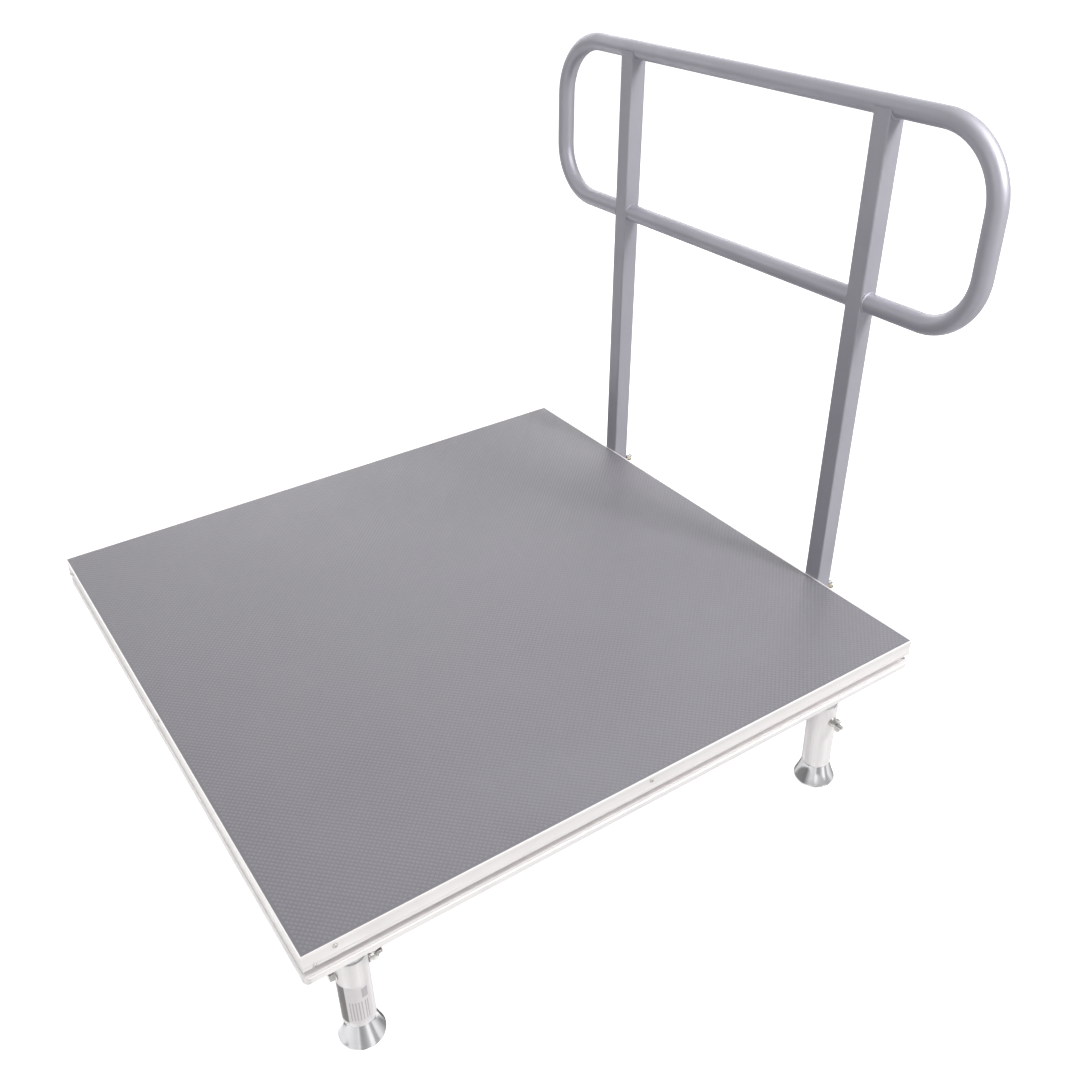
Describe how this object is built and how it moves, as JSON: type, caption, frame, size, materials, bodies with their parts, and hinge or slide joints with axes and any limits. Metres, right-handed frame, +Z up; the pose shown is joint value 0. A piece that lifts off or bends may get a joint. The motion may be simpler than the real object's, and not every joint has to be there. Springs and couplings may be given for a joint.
{
  "type": "stage riser platform",
  "caption": "Square low stage platform with a framed anti-slip deck, pinned tubular legs on levelling bell feet and a sliding tubular guardrail along the rear edge.",
  "frame": {"origin": "on the floor, under the centre of the overall footprint", "axes": "+Z up, +Y towards the edge that carries the guardrail, +X along the guardrail"},
  "size_m": [1.0018, 1.0583, 1.0442],
  "materials": {
    "frame_aluminium": "satin extruded",
    "deck_board": "phenolic film with an anti-slip mesh",
    "cast_aluminium": "as cast",
    "leg_aluminium": "polished tube",
    "screw_steel": "plain",
    "zinc_steel": "zinc plated",
    "chrome": "polished",
    "rubber": "matte",
    "plug_plastic": "moulded",
    "rail_paint": "satin silver-grey paint"
  },
  "bodies": {
    "deck": {"rail_rear": "frame_aluminium", "rail_left": "frame_aluminium", "rail_front": "frame_aluminium", "rail_right": "frame_aluminium", "deck_panel": "deck_board", "cross_brace": "frame_aluminium", "corner_block_rear_right": "cast_aluminium", "corner_block_rear_left": "cast_aluminium", "corner_block_front_left": "cast_aluminium", "corner_block_front_right": "cast_aluminium", "spigot_rear_right": "cast_aluminium", "spigot_rear_left": "cast_aluminium", "spigot_front_left": "cast_aluminium", "spigot_front_right": "cast_aluminium", "panel_screws": "screw_steel", "corner_screws": "screw_steel"},
    "leg_rear_right": {"leg_tube_rear_right": "leg_aluminium", "foot_insert_rear_right": "cast_aluminium", "clamp_bolt_rear_right": "zinc_steel"},
    "washer_rear_right": {"clamp_washer_rear_right": "zinc_steel"},
    "nut_rear_right": {"wing_nut_rear_right": "zinc_steel"},
    "pad_rear_right": {"foot_pad_rear_right": "rubber"},
    "foot_rear_right": {"foot_bell_rear_right": "chrome", "foot_spindle_rear_right": "zinc_steel"},
    "leg_rear_left": {"leg_tube_rear_left": "leg_aluminium", "foot_insert_rear_left": "cast_aluminium", "clamp_bolt_rear_left": "zinc_steel"},
    "washer_rear_left": {"clamp_washer_rear_left": "zinc_steel"},
    "nut_rear_left": {"wing_nut_rear_left": "zinc_steel"},
    "pad_rear_left": {"foot_pad_rear_left": "rubber"},
    "foot_rear_left": {"foot_bell_rear_left": "chrome", "foot_spindle_rear_left": "zinc_steel"},
    "leg_front_left": {"leg_tube_front_left": "leg_aluminium", "foot_insert_front_left": "cast_aluminium", "clamp_bolt_front_left": "zinc_steel"},
    "washer_front_left": {"clamp_washer_front_left": "zinc_steel"},
    "nut_front_left": {"wing_nut_front_left": "zinc_steel"},
    "pad_front_left": {"foot_pad_front_left": "rubber"},
    "foot_front_left": {"foot_bell_front_left": "chrome", "foot_spindle_front_left": "zinc_steel"},
    "leg_front_right": {"leg_tube_front_right": "leg_aluminium", "foot_insert_front_right": "cast_aluminium", "clamp_bolt_front_right": "zinc_steel"},
    "washer_front_right": {"clamp_washer_front_right": "zinc_steel"},
    "nut_front_right": {"wing_nut_front_right": "zinc_steel"},
    "pad_front_right": {"foot_pad_front_right": "rubber"},
    "foot_front_right": {"foot_bell_front_right": "chrome", "foot_spindle_front_right": "zinc_steel"},
    "guardrail": {"guard_hoop": "rail_paint", "guard_mid_rail": "rail_paint", "guard_post_left": "rail_paint", "guard_post_right": "rail_paint", "post_plugs": "plug_plastic", "t_bolts": "zinc_steel"},
    "washer_guard_left": {"guard_washer_left": "zinc_steel"},
    "nut_guard_left": {"guard_nut_left": "zinc_steel"},
    "washer_guard_right": {"guard_washer_right": "zinc_steel"},
    "nut_guard_right": {"guard_nut_right": "zinc_steel"}
  },
  "joints": [
    {"name": "leg_rear_right_slide", "type": "slide", "parent": "deck", "child": "leg_rear_right", "axis": [0, 0, -1], "range_m": [0, 0.045]},
    {"name": "wing_nut_rear_right_travel", "type": "slide", "parent": "leg_rear_right", "child": "washer_rear_right", "axis": [1, 0, 0], "range_m": [0, 0.0175]},
    {"name": "wing_nut_rear_right_turn", "type": "hinge", "parent": "washer_rear_right", "child": "nut_rear_right", "pos_m": [0.44, 0.38907, 0.1325], "axis": [1, 0, 0], "range_deg": [0, 5040]},
    {"name": "foot_rear_right_travel", "type": "slide", "parent": "leg_rear_right", "child": "pad_rear_right", "axis": [0, 0, -1], "range_m": [0, 0.04]},
    {"name": "foot_rear_right_turn", "type": "hinge", "parent": "pad_rear_right", "child": "foot_rear_right", "pos_m": [0.417, 0.38907, 0.02], "axis": [0, 0, -1], "range_deg": [0, 5760]},
    {"name": "leg_rear_left_slide", "type": "slide", "parent": "deck", "child": "leg_rear_left", "axis": [0, 0, -1], "range_m": [0, 0.045]},
    {"name": "wing_nut_rear_left_travel", "type": "slide", "parent": "leg_rear_left", "child": "washer_rear_left", "axis": [0, 1, 0], "range_m": [0, 0.0175]},
    {"name": "wing_nut_rear_left_turn", "type": "hinge", "parent": "washer_rear_left", "child": "nut_rear_left", "pos_m": [-0.417, 0.41207, 0.1325], "axis": [0, 1, 0], "range_deg": [0, 5040]},
    {"name": "foot_rear_left_travel", "type": "slide", "parent": "leg_rear_left", "child": "pad_rear_left", "axis": [0, 0, -1], "range_m": [0, 0.04]},
    {"name": "foot_rear_left_turn", "type": "hinge", "parent": "pad_rear_left", "child": "foot_rear_left", "pos_m": [-0.417, 0.38907, 0.02], "axis": [0, 0, -1], "range_deg": [0, 5760]},
    {"name": "leg_front_left_slide", "type": "slide", "parent": "deck", "child": "leg_front_left", "axis": [0, 0, -1], "range_m": [0, 0.045]},
    {"name": "wing_nut_front_left_travel", "type": "slide", "parent": "leg_front_left", "child": "washer_front_left", "axis": [-1, 0, 0], "range_m": [0, 0.0175]},
    {"name": "wing_nut_front_left_turn", "type": "hinge", "parent": "washer_front_left", "child": "nut_front_left", "pos_m": [-0.44, -0.44493, 0.1325], "axis": [-1, 0, 0], "range_deg": [0, 5040]},
    {"name": "foot_front_left_travel", "type": "slide", "parent": "leg_front_left", "child": "pad_front_left", "axis": [0, 0, -1], "range_m": [0, 0.04]},
    {"name": "foot_front_left_turn", "type": "hinge", "parent": "pad_front_left", "child": "foot_front_left", "pos_m": [-0.417, -0.44493, 0.02], "axis": [0, 0, -1], "range_deg": [0, 5760]},
    {"name": "leg_front_right_slide", "type": "slide", "parent": "deck", "child": "leg_front_right", "axis": [0, 0, -1], "range_m": [0, 0.045]},
    {"name": "wing_nut_front_right_travel", "type": "slide", "parent": "leg_front_right", "child": "washer_front_right", "axis": [0, 1, 0], "range_m": [0, 0.0175]},
    {"name": "wing_nut_front_right_turn", "type": "hinge", "parent": "washer_front_right", "child": "nut_front_right", "pos_m": [0.417, -0.42193, 0.1325], "axis": [0, 1, 0], "range_deg": [0, 5040]},
    {"name": "foot_front_right_travel", "type": "slide", "parent": "leg_front_right", "child": "pad_front_right", "axis": [0, 0, -1], "range_m": [0, 0.04]},
    {"name": "foot_front_right_turn", "type": "hinge", "parent": "pad_front_right", "child": "foot_front_right", "pos_m": [0.417, -0.44493, 0.02], "axis": [0, 0, -1], "range_deg": [0, 5760]},
    {"name": "guardrail_shift", "type": "slide", "parent": "deck", "child": "guardrail", "axis": [1, 0, 0], "range_m": [-0.15, 0.15]},
    {"name": "guard_nut_left_travel", "type": "slide", "parent": "guardrail", "child": "washer_guard_left", "axis": [0, 0.9993, -0.0372], "range_m": [0, 0.0175]},
    {"name": "guard_nut_left_turn", "type": "hinge", "parent": "washer_guard_left", "child": "nut_guard_left", "pos_m": [-0.265, 0.50108, 0.26388], "axis": [0, 0.9993, -0.0372], "range_deg": [0, 5040]},
    {"name": "guard_nut_right_travel", "type": "slide", "parent": "guardrail", "child": "washer_guard_right", "axis": [0, 0.9993, -0.0372], "range_m": [0, 0.0175]},
    {"name": "guard_nut_right_turn", "type": "hinge", "parent": "washer_guard_right", "child": "nut_guard_right", "pos_m": [0.287, 0.50108, 0.26388], "axis": [0, 0.9993, -0.0372], "range_deg": [0, 5040]}
  ],
  "couplings": [
    {"joint": "wing_nut_rear_right_travel", "follows": "wing_nut_rear_right_turn", "m_per_rad": 0.00019894},
    {"joint": "foot_rear_right_travel", "follows": "foot_rear_right_turn", "m_per_rad": 0.00039789},
    {"joint": "wing_nut_rear_left_travel", "follows": "wing_nut_rear_left_turn", "m_per_rad": 0.00019894},
    {"joint": "foot_rear_left_travel", "follows": "foot_rear_left_turn", "m_per_rad": 0.00039789},
    {"joint": "wing_nut_front_left_travel", "follows": "wing_nut_front_left_turn", "m_per_rad": 0.00019894},
    {"joint": "foot_front_left_travel", "follows": "foot_front_left_turn", "m_per_rad": 0.00039789},
    {"joint": "wing_nut_front_right_travel", "follows": "wing_nut_front_right_turn", "m_per_rad": 0.00019894},
    {"joint": "foot_front_right_travel", "follows": "foot_front_right_turn", "m_per_rad": 0.00039789},
    {"joint": "guard_nut_left_travel", "follows": "guard_nut_left_turn", "m_per_rad": 0.00019894},
    {"joint": "guard_nut_right_travel", "follows": "guard_nut_right_turn", "m_per_rad": 0.00019894}
  ]
}
